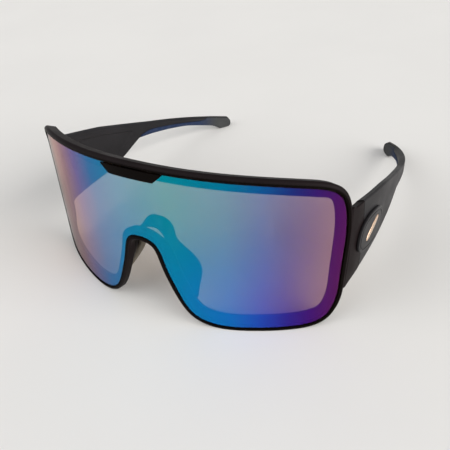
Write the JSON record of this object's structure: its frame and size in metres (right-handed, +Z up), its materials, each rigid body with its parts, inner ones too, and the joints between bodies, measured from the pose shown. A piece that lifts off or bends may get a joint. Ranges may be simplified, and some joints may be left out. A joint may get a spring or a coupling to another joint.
{
  "type": "shield sunglasses",
  "caption": "Oversized full-rim shield sunglasses with one curved mirror lens, a nose saddle with soft pads and folding temples with rubber grips.",
  "frame": {"origin": "bottom centre of the bounding box of the glasses as they stand open on a table", "axes": "+Z up, the lens faces -Y, +X is the wearer's left, temples run towards +Y"},
  "size_m": [0.15, 0.1577, 0.0678],
  "materials": {
    "shell": "matt dark grey, injection moulded",
    "trim": "satin black, moulded",
    "lens": "see-through mirror coating, teal to violet, on a polycarbonate shield",
    "grip": "soft matt grip",
    "pad": "soft matt pad",
    "rose": "polished rose gold colour",
    "steel": "plain hinge steel"
  },
  "bodies": {
    "front": {"front_frame": "shell", "shield_lens": "lens", "brow_clip": "trim", "nose_saddle": "trim", "nose_pad_left": "pad", "nose_pad_right": "pad", "frame_hinge_leaf_left": "steel", "frame_hinge_leaf_right": "steel", "hinge_screw_left": "steel", "hinge_screw_right": "steel"},
    "left_temple": {"temple_left": "shell", "temple_grip_left": "grip", "temple_hinge_leaf_left": "steel", "badge_left": "shell", "badge_bar_left": "rose"},
    "right_temple": {"temple_right": "shell", "temple_grip_right": "grip", "temple_hinge_leaf_right": "steel", "badge_right": "shell", "badge_bar_right": "rose"}
  },
  "joints": [
    {"name": "left_fold", "type": "hinge", "parent": "front", "child": "left_temple", "pos_m": [0.068, -0.04019, 0.03356], "axis": [0, 0, 1], "range_deg": [0, 90]},
    {"name": "right_fold", "type": "hinge", "parent": "front", "child": "right_temple", "pos_m": [-0.068, -0.04019, 0.03356], "axis": [0, 0, -1], "range_deg": [0, 84]}
  ]
}
